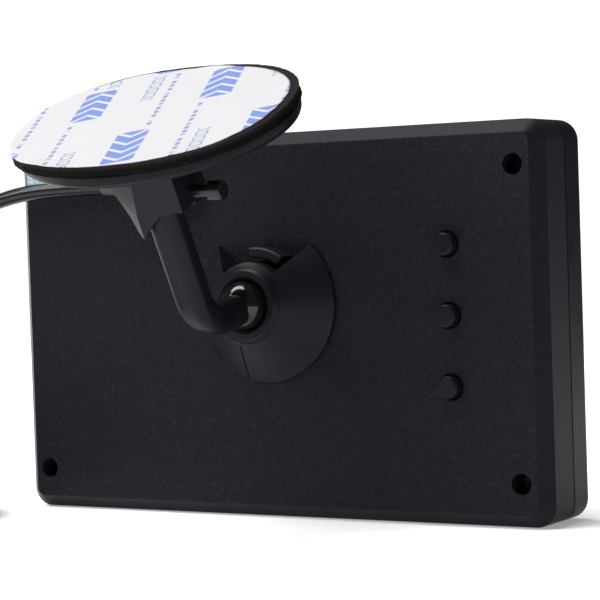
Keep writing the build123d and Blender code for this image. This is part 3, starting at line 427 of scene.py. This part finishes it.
def cut_foam_edge(colour):
    """Foam tape, die cut: black closed cells torn open along the edge, with a brownish
    line of adhesive under the liner."""
    material, tree, shader = new_material("cut_acrylic_foam", (*colour, 1), 0.9, IOR=1.45,
                                          Specular_IOR_Level=0.1)
    place = pad_matrix()
    coords = add_node(tree, "ShaderNodeTexCoord")
    local = add_node(tree, "ShaderNodeMapping",
                     {"Vector": coords.outputs["Object"], "Location": place.translation,
                      "Rotation": place.to_euler(), "Scale": (MM, MM, MM)},
                     vector_type="TEXTURE")
    cells = add_node(tree, "ShaderNodeTexVoronoi",
                     {"Vector": local.outputs[0], "Scale": 2.2}, feature="F1")
    fibres = add_node(tree, "ShaderNodeTexNoise",
                      {"Vector": local.outputs[0], "Scale": 1.1, "Detail": 4.0,
                       "Roughness": 0.65})
    depth = add_node(tree, "ShaderNodeSeparateXYZ", {0: local.outputs[0]})
    near_liner = add_node(tree, "ShaderNodeMapRange",
                          {"Value": depth.outputs["Z"], "From Min": -0.95,
                           "From Max": -0.3})
    torn = add_node(tree, "ShaderNodeMath",
                    {0: fibres.outputs["Fac"], 1: near_liner.outputs[0]},
                    operation="MULTIPLY")
    tone = add_node(tree, "ShaderNodeMix",
                    {"Factor": torn.outputs[0], "A": (*colour, 1), "B": linear("2f2824")},
                    data_type="RGBA")
    tree.links.new(tone.outputs["Result"], shader.inputs["Base Color"])
    bump = add_node(tree, "ShaderNodeBump",
                    {"Strength": 0.8, "Distance": 0.12 * MM, "Height": cells.outputs["Distance"]})
    tree.links.new(bump.outputs[0], shader.inputs["Normal"])
    return material


def printed_liner(colour, pitch):
    """Siliconed paper liner: smooth white, flexo printed with slanting columns of arrow
    stripes, boxes and dashes that run opposite ways in neighbouring columns."""
    paper, fine_ink = linear("c6c5c8"), linear("808bb0")
    material, tree, shader = new_material("printed_silicone_paper", paper, 0.42, IOR=1.45)
    place = pad_matrix(radians(PRINT_SLANT))
    coords = add_node(tree, "ShaderNodeTexCoord")
    local = add_node(tree, "ShaderNodeMapping",
                     {"Vector": coords.outputs["Object"], "Location": place.translation,
                      "Rotation": place.to_euler(), "Scale": (MM, MM, MM)},
                     vector_type="TEXTURE")
    at = add_node(tree, "ShaderNodeSeparateXYZ", {0: local.outputs[0]})
    pitch_mm, first = pitch / MM, 1.4
    column = add_node(tree, "ShaderNodeMath",
                      {0: at.outputs["X"], 1: 1 / pitch_mm, 2: 0.5 - first / pitch_mm},
                      operation="MULTIPLY_ADD")
    column = add_node(tree, "ShaderNodeMath", {0: column.outputs[0]}, operation="FLOOR")
    across = add_node(tree, "ShaderNodeMath",
                      {0: column.outputs[0], 1: -pitch_mm, 2: at.outputs["X"]},
                      operation="MULTIPLY_ADD")
    across = add_node(tree, "ShaderNodeMath", {0: across.outputs[0], 1: first},
                      operation="SUBTRACT")
    odd = add_node(tree, "ShaderNodeMath", {0: column.outputs[0], 1: 2.0},
                   operation="FLOORED_MODULO")
    way = add_node(tree, "ShaderNodeMath", {0: odd.outputs[0], 1: -2.0, 2: 1.0},
                   operation="MULTIPLY_ADD")
    begin = add_node(tree, "ShaderNodeMath", {0: odd.outputs[0], 1: -9.0, 2: 6.5},
                     operation="MULTIPLY_ADD")
    run = add_node(tree, "ShaderNodeMath", {0: at.outputs["Y"], 1: begin.outputs[0]},
                   operation="SUBTRACT")
    run = add_node(tree, "ShaderNodeMath", {0: run.outputs[0], 1: way.outputs[0]},
                   operation="MULTIPLY")
    run = add_node(tree, "ShaderNodeMath", {0: run.outputs[0], 1: 40.0},
                   operation="FLOORED_MODULO").outputs[0]
    row = add_node(tree, "ShaderNodeMath", {0: across.outputs[0], 1: way.outputs[0]},
                   operation="MULTIPLY").outputs[0]

    def between(value, low, high):
        """1 where the value lies between two limits."""
        middle = add_node(tree, "ShaderNodeMath", {0: value, 1: (low + high) / 2},
                          operation="SUBTRACT")
        away = add_node(tree, "ShaderNodeMath", {0: middle.outputs[0]},
                        operation="ABSOLUTE")
        return add_node(tree, "ShaderNodeMath", {0: away.outputs[0], 1: (high - low) / 2},
                        operation="LESS_THAN").outputs[0]

    def repeated(value, period, share):
        """1 over a share of each period."""
        scaled = add_node(tree, "ShaderNodeMath", {0: value, 1: 1 / period},
                          operation="MULTIPLY")
        part = add_node(tree, "ShaderNodeMath", {0: scaled.outputs[0]}, operation="FRACT")
        return add_node(tree, "ShaderNodeMath", {0: part.outputs[0], 1: share},
                        operation="LESS_THAN").outputs[0]

    def all_of(*masks):
        """1 where every mask is."""
        result = masks[0]
        for mask in masks[1:]:
            result = add_node(tree, "ShaderNodeMath", {0: result, 1: mask},
                              operation="MULTIPLY").outputs[0]
        return result

    # arrow stripes, 6.2 mm tall, in a block 13 mm long
    height = add_node(tree, "ShaderNodeMath", {0: row}, operation="ABSOLUTE")
    slant = add_node(tree, "ShaderNodeMath", {0: height.outputs[0], 1: 0.75, 2: run},
                     operation="MULTIPLY_ADD")
    arrows = all_of(repeated(slant.outputs[0], 3.25, 0.72), between(row, -3.1, 3.1),
                    between(run, 0.4, 13.6))
    # a row of dashes, 0.9 mm tall
    dashes = all_of(repeated(run, 1.7, 0.66), repeated(run, 6.1, 0.86),
                    between(row, -2.55, -1.65), between(run, 14.8, 39.0))
    # a row of small open boxes, 2.4 mm tall
    boxes = all_of(repeated(run, 2.3, 0.74), between(row, 0.5, 2.9),
                   between(run, 14.8, 26.0))
    shifted = add_node(tree, "ShaderNodeMath", {0: run, 1: 0.27}, operation="SUBTRACT")
    holes = all_of(repeated(shifted.outputs[0], 2.3, 0.5), between(row, 0.85, 2.55))
    open_boxes = add_node(tree, "ShaderNodeMath", {0: boxes, 1: holes},
                          operation="SUBTRACT", use_clamp=True)
    fine = add_node(tree, "ShaderNodeMath", {0: dashes, 1: open_boxes.outputs[0]},
                    operation="MAXIMUM")
    ink = add_node(tree, "ShaderNodeTexNoise",
                   {"Vector": local.outputs[0], "Scale": 1.6, "Detail": 2.0})
    strength = add_node(tree, "ShaderNodeMapRange",
                        {"Value": ink.outputs["Fac"], "To Min": 0.82, "To Max": 1.0})
    with_fine = add_node(tree, "ShaderNodeMix",
                         {"Factor": fine.outputs[0], "A": paper, "B": fine_ink},
                         data_type="RGBA")
    inked = add_node(tree, "ShaderNodeMath", {0: arrows, 1: strength.outputs[0]},
                     operation="MULTIPLY")
    with_arrows = add_node(tree, "ShaderNodeMix",
                           {"Factor": inked.outputs[0], "A": with_fine.outputs["Result"],
                            "B": (*colour, 1)}, data_type="RGBA")
    tree.links.new(with_arrows.outputs["Result"], shader.inputs["Base Color"])
    return material


def oval(bm, half_length, half_width, fullness, segments):
    """An oval ring of edges in the XY plane, fuller at its quarters than an ellipse."""
    ring = bmesh.ops.create_circle(bm, segments=segments, radius=1.0)["verts"]
    for vert in ring:
        reach = (abs(vert.co.x) ** fullness + abs(vert.co.y) ** fullness) ** (-1 / fullness)
        vert.co *= reach
    bmesh.ops.scale(bm, vec=(half_length, half_width, 1), verts=ring)
    return ring


def cut_wander(point, size, reach):
    """How far a hand-fed cutter strays at a point of the rim."""
    return reach * (noise.noise(point / size) + 0.5 * noise.noise(point / size * 3.1))


class DISPLAY_OT_foam(Operator):
    """Make the foam tape with its torn edge"""
    bl_idname = "display.foam"
    bl_label = "Foam tape"

    def execute(self, context):
        pad = context.scene.display_pad
        half_length, half_width = pad_halves(PAD_LOW, PAD_HIGH, FOAM_THICK)
        layers = 6
        bm = bmesh.new()
        ring = oval(bm, half_length, half_width, pad.fullness, 360)
        bmesh.ops.translate(bm, vec=(0, 0, -LINER_THICK - FOAM_THICK), verts=ring)
        rim = list(bm.edges)
        bmesh.ops.edgeloop_fill(bm, edges=rim)
        for _ in range(layers):
            grown = bmesh.ops.extrude_edge_only(bm, edges=rim)["geom"]
            verts = [g for g in grown if isinstance(g, bmesh.types.BMVert)]
            bmesh.ops.translate(bm, vec=(0, 0, FOAM_THICK / layers), verts=verts)
            rim = [g for g in grown if isinstance(g, bmesh.types.BMEdge)]
        bmesh.ops.edgeloop_fill(bm, edges=rim)
        for vert in bm.verts:
            out = Vector((vert.co.x / half_length ** 2, vert.co.y / half_width ** 2, 0))
            deep = 1.0 - abs(vert.co.z + LINER_THICK + FOAM_THICK / 2) / FOAM_THICK
            # the middle of the edge is squeezed in by the cutter
            vert.co += out.normalized() * (cut_wander(vert.co, 0.9 * MM, pad.ragged)
                                           - 0.35 * MM * deep - pad.ragged)
        bmesh.ops.recalc_face_normals(bm, faces=bm.faces)
        bmesh.ops.transform(bm, matrix=pad_matrix(), verts=bm.verts)
        foam = object_from("foam_tape", bm, cut_foam_edge(pad.foam_colour), "base",
                           smooth=False)
        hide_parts("foam_pad")
        return {"FINISHED"}


class DISPLAY_OT_liner(Operator):
    """Make the printed release liner, lying on the foam with a slightly lifted rim"""
    bl_idname = "display.liner"
    bl_label = "Release liner"

    def execute(self, context):
        pad = context.scene.display_pad
        half_length, half_width = pad_halves(LINER_LOW, LINER_HIGH, LINER_THICK)
        bm = bmesh.new()
        oval(bm, half_length, half_width, pad.fullness, 240)
        rim = list(bm.edges)
        shares = (0.985, 0.96, 0.92, 0.85, 0.72, 0.5, 0.25)
        before = 1.0
        for share in shares:
            grown = bmesh.ops.extrude_edge_only(bm, edges=rim)["geom"]
            verts = [g for g in grown if isinstance(g, bmesh.types.BMVert)]
            bmesh.ops.scale(bm, vec=(share / before, share / before, 1), verts=verts)
            rim = [g for g in grown if isinstance(g, bmesh.types.BMEdge)]
            before = share
        bmesh.ops.edgeloop_fill(bm, edges=rim)
        for vert in bm.verts:
            reach = min(1.0, Vector((vert.co.x / half_length, vert.co.y / half_width)).length)
            lift = max(0.0, noise.noise(vert.co / (9 * MM)) + 0.15) * 0.35 * MM
            vert.co.z += lift * max(0.0, (reach - 0.85) / 0.15) ** 2
            if reach > 0.99:
                vert.co += Vector((vert.co.x, vert.co.y, 0)).normalized() * cut_wander(
                    vert.co, 1.5 * MM, 0.08 * MM)
        bmesh.ops.recalc_face_normals(bm, faces=bm.faces)
        if sum(f.normal.z * f.calc_area() for f in bm.faces) < 0:
            bmesh.ops.reverse_faces(bm, faces=bm.faces)
        area = sum(f.calc_area() for f in bm.faces)
        bmesh.ops.solidify(bm, geom=bm.faces, thickness=LINER_THICK)
        bmesh.ops.translate(bm, vec=LINER_SHIFT, verts=bm.verts)
        bmesh.ops.transform(bm, matrix=pad_matrix(), verts=bm.verts)
        liner = object_from("printed_liner", bm,
                            printed_liner(pad.print_colour, pad.column_pitch), "base")
        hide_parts("release_liner")
        return {"FINISHED"}


class DISPLAY_OT_label(Operator):
    """Finish the small printed label beside the gland"""
    bl_idname = "display.label"
    bl_label = "Label"

    def execute(self, context):
        # thermal-printed film: bluish white with a pale grid of test cells
        material, tree, shader = new_material("printed_film_label", linear("dfe9ef"), 0.35,
                                              IOR=1.5)
        coords = add_node(tree, "ShaderNodeTexCoord")
        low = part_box("quality_label")[0]
        turned = add_node(tree, "ShaderNodeMapping",
                          {"Vector": coords.outputs["Object"], "Location": low,
                           "Rotation": (radians(90), 0, 0), "Scale": (MM, MM, MM)},
                          vector_type="TEXTURE")
        cells = add_node(tree, "ShaderNodeTexBrick",
                         {"Vector": turned.outputs[0], "Scale": 1.0,
                          "Color1": linear("e9f2f6"), "Color2": linear("c4dfe9"),
                          "Mortar": linear("8fb9cc"), "Mortar Size": 0.12,
                          "Brick Width": 1.3, "Row Height": 1.0}, offset=0.0)
        tree.links.new(cells.outputs["Color"], shader.inputs["Base Color"])
        dress(("quality_label",), material)
        return {"FINISHED"}


# ------------------------------------------------------------------ lead
# the lead's centreline from its gland down to the coil, in metres
ROUTE = ((0.0350, 0.0122, 0.0659), (0.0465, 0.0122, 0.0659), (0.0570, 0.0128, 0.0652),
         (0.0685, 0.0128, 0.0623), (0.0800, 0.0126, 0.0566), (0.0896, 0.0126, 0.0476),
         (0.0950, 0.0132, 0.0355), (0.0962, 0.0162, 0.0234), (0.0968, 0.0215, 0.0140),
         (0.0984, 0.0275, 0.0092))
PLUG_START = Vector((0.074, 0.057, 0.006))


def coil_line(points_per_turn):
    """The lead's points while it runs round the coil: nine passes, three layers of three,
    each giving way to the next over its last eighth of a turn, then out to the plug."""
    centre = (COIL_LOW + COIL_HIGH) / 2
    middle = (COIL_HIGH.x - COIL_LOW.x) / 2 - 4.9 * MM
    gap = 3.2 * MM        # between neighbouring turns, one lead's width
    cells = [(middle + gap * column, 5.3 * MM + gap * row) for column, row in
             ((1, 1), (0, 1), (-1, 1), (-1, 0), (0, 0), (-1, -1), (0, -1), (1, -1), (1, 0))]
    # degrees: where it starts, the length of a pass, of a crossing, and where it ends
    first, hold, cross, last = -20.0, 300.0, 44.0, 2605.0
    step = 360.0 / points_per_turn
    line, angle = [], first + step
    while angle < last:
        index = min(int((angle - first) // hold), len(cells) - 1)
        into = angle - first - index * hold
        share = max(0.0, into - (hold - cross)) / cross if index < len(cells) - 1 else 0.0
        share = share * share * (3 - 2 * share)
        after = cells[min(index + 1, len(cells) - 1)]
        radius = cells[index][0] * (1 - share) + after[0] * share
        height = cells[index][1] * (1 - share) + after[1] * share
        # tied by hand, the turns lie a little unevenly
        drift = noise.noise(Vector((angle / 70.0, index * 3.7, 0.0))) * 0.25 * MM
        line.append(Vector((centre.x + (radius + drift) * cos(radians(angle)),
                            centre.y + (radius + drift) * sin(radians(angle)), height)))
        angle += step
    return line


class DISPLAY_OT_lead(Operator):
    """Make the lead at its real length: round the case, down and into a tied coil"""
    bl_idname = "display.lead"
    bl_label = "Lead"

    def execute(self, context):
        lead = context.scene.display_lead
        # plasticised PVC jacket: glossy black with a slight ripple from the extruder
        jacket, tree, shader = new_material("glossy_pvc_jacket", linear("0f0f12"), 0.22,
                                            IOR=1.53, Specular_IOR_Level=0.3)
        coords = add_node(tree, "ShaderNodeTexCoord")
        ripple = add_node(tree, "ShaderNodeTexNoise",
                          {"Vector": coords.outputs["Object"], "Scale": 1 / (4 * MM),
                           "Detail": 2.0})
        bump = add_node(tree, "ShaderNodeBump",
                        {"Strength": 0.15, "Distance": 0.1 * MM,
                         "Height": ripple.outputs["Fac"]})
        tree.links.new(bump.outputs[0], shader.inputs["Normal"])

        points = ([Vector(p) for p in ROUTE] + coil_line(lead.points_per_turn)
                  + [PLUG_START, PLUG_START - Vector((6 * MM, 0, 0))])
        curve = bpy.data.curves.new("lead", "CURVE")
        curve.dimensions = "3D"
        spline = curve.splines.new("NURBS")
        spline.points.add(len(points) - 1)
        for point, place in zip(spline.points, points):
            point.co = (*place, 1)
        spline.order_u = 3
        spline.use_endpoint_u = True
        spline.use_smooth = True
        spline.resolution_u = 6
        curve.bevel_depth = lead.diameter / 2
        curve.bevel_resolution = 6
        curve.use_fill_caps = True
        curve.materials.append(jacket)
        cable = bpy.data.objects.new("lead", curve)
        context.scene.collection.objects.link(cable)
        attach(cable, "monitor")
        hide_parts("cable", "cable_coil")
        dress(("strain_relief", "plug_relief"),
              plain_finish("soft_pvc_relief", "121214", 0.32, IOR=1.53))
        dress(("plug_body", "plug_ring"),
              plain_finish("moulded_pvc_plug", "141416", 0.4, IOR=1.53))
        dress(("plug_insert",), plain_finish("black_nylon_insert", "1c1c1e", 0.4))
        dress(("plug_contacts",), turned_metal("nickel_plated_pins", "c6c2b6", 0.22))
        # paper-cored plastic twist tie, pressed flat
        dress(("cable_tie",), plain_finish("flat_twist_tie", "101011", 0.42))
        return {"FINISHED"}


# ------------------------------------------------------------------ stage
CAMERA_PLACE = (-0.22970, 0.37141, 0.05683)          # metres
CAMERA_TURN_RISE_ROLL = (211.438, 1.938, -1.923)     # degrees
CAMERA_LENS = 132.03                                 # millimetres, on a 36 mm sensor


def soft_light(name, place, target, size, power):
    """A rectangular soft light at a place, turned to a target."""
    data = bpy.data.lights.new(name, "AREA")
    data.shape = "RECTANGLE"
    data.size, data.size_y = size
    data.energy = power
    light = bpy.data.objects.new(name, data)
    light.location = place
    light.rotation_euler = (Vector(target) - Vector(place)).to_track_quat(
        "-Z", "Y").to_euler()
    bpy.context.scene.collection.objects.link(light)


class DISPLAY_OT_stage(Operator):
    """Set the camera, the pale floor and the soft studio light"""
    bl_idname = "display.stage"
    bl_label = "Studio"

    def execute(self, context):
        scene = context.scene
        studio = scene.display_studio
        camera = bpy.data.objects.new("camera", bpy.data.cameras.new("camera"))
        scene.collection.objects.link(camera)
        scene.camera = camera
        camera.data.sensor_width = 36.0
        camera.data.lens = CAMERA_LENS
        camera.data.clip_start, camera.data.clip_end = 0.01, 20.0
        camera.data.dof.use_dof = False
        turn, rise, roll = (radians(angle) for angle in CAMERA_TURN_RISE_ROLL)
        back = Vector((sin(turn) * cos(rise), -cos(turn) * cos(rise), sin(rise)))
        right = (-back).cross(Vector((0, 0, 1))).normalized()
        up = right.cross(-back)
        across = right * cos(roll) + up * sin(roll)
        upward = up * cos(roll) - right * sin(roll)
        camera.matrix_world = Matrix.Translation(CAMERA_PLACE) @ Matrix(
            (across, upward, back)).transposed().to_4x4()

        # opal acrylic table, matt and even, faintly lit from below so shadows stay thin
        opal = new_material("opal_acrylic_table", (*studio.floor_colour, 1), 1.0,
                            Emission_Color=(1, 1, 1, 1), Emission_Strength=0.28)[0]
        bm = bmesh.new()
        bmesh.ops.create_grid(bm, x_segments=1, y_segments=1, size=0.5)
        mesh = bpy.data.meshes.new("floor")
        bm.to_mesh(mesh)
        bm.free()
        mesh.materials.append(opal)
        floor = bpy.data.objects.new("floor", mesh)
        floor.location = (0, 0, -0.0002)
        scene.collection.objects.link(floor)

        # a white room: pure white to look at, softer as a light
        world = bpy.data.worlds.new("white_room")
        scene.world = world
        world.use_nodes = True
        tree = world.node_tree
        tree.nodes.clear()
        seen = add_node(tree, "ShaderNodeLightPath")
        look = add_node(tree, "ShaderNodeBackground", {"Color": (1, 1, 1, 1), "Strength": 1.2})
        lit = add_node(tree, "ShaderNodeBackground",
                       {"Color": linear("f4f5f8"), "Strength": studio.room_level})
        both = add_node(tree, "ShaderNodeMixShader",
                        {0: seen.outputs["Is Camera Ray"], 1: lit.outputs[0],
                         2: look.outputs[0]})
        add_node(tree, "ShaderNodeOutputWorld", {"Surface": both.outputs[0]})
        scene.view_settings.view_transform = "Standard"

        middle = (0.0, 0.01, 0.045)
        # the even light of a big diffuser hung far above the table
        sky = bpy.data.lights.new("overhead_diffuser", "SUN")
        sky.energy = studio.overhead
        sky.angle = radians(46)
        overhead = bpy.data.objects.new("overhead_diffuser", sky)
        overhead.rotation_euler = Vector((-0.3, -0.2, -0.93)).to_track_quat(
            "-Z", "Y").to_euler()
        scene.collection.objects.link(overhead)
        soft_light("key_softbox", (1.05, 1.15, 1.0), middle, (0.8, 0.8), studio.key_power)
        soft_light("side_strip", (1.6, -0.7, 0.45), middle, (0.35, 1.2), studio.side_power)
        return {"FINISHED"}


# ------------------------------------------------------------------ panel
STEPS = ("stage", "lead", "case", "inside", "mount", "foam", "liner", "label")


class DISPLAY_PT_panel(Panel):
    """Sizes, colours and steps of the display"""
    bl_idname = "DISPLAY_PT_panel"
    bl_label = "Display"
    bl_space_type = "VIEW_3D"
    bl_region_type = "UI"
    bl_category = "Display"

    def draw(self, context):
        scene = context.scene
        for group in (scene.display_case, scene.display_pad, scene.display_lead,
                      scene.display_studio):
            box = self.layout.box()
            for name in group.bl_rna.properties.keys():
                if name not in ("rna_type", "name"):
                    box.prop(group, name)
        for step in STEPS:
            self.layout.operator(f"display.{step}")


CLASSES = (CaseFinish, PadFinish, LeadShape, StudioLight, DISPLAY_OT_stage,
           DISPLAY_OT_lead, DISPLAY_OT_case, DISPLAY_OT_inside, DISPLAY_OT_mount,
           DISPLAY_OT_foam, DISPLAY_OT_liner, DISPLAY_OT_label, DISPLAY_PT_panel)
GROUPS = {"display_case": CaseFinish, "display_pad": PadFinish,
          "display_lead": LeadShape, "display_studio": StudioLight}


def register():
    for cls in CLASSES:
        bpy.utils.register_class(cls)
    for name, group in GROUPS.items():
        setattr(bpy.types.Scene, name, PointerProperty(type=group))


def unregister():
    for name in GROUPS:
        delattr(bpy.types.Scene, name)
    for cls in reversed(CLASSES):
        bpy.utils.unregister_class(cls)


def main():
    register()
    for step in STEPS:
        getattr(bpy.ops.display, step)()
    bpy.context.view_layer.update()


if __name__ == "__main__":
    main()
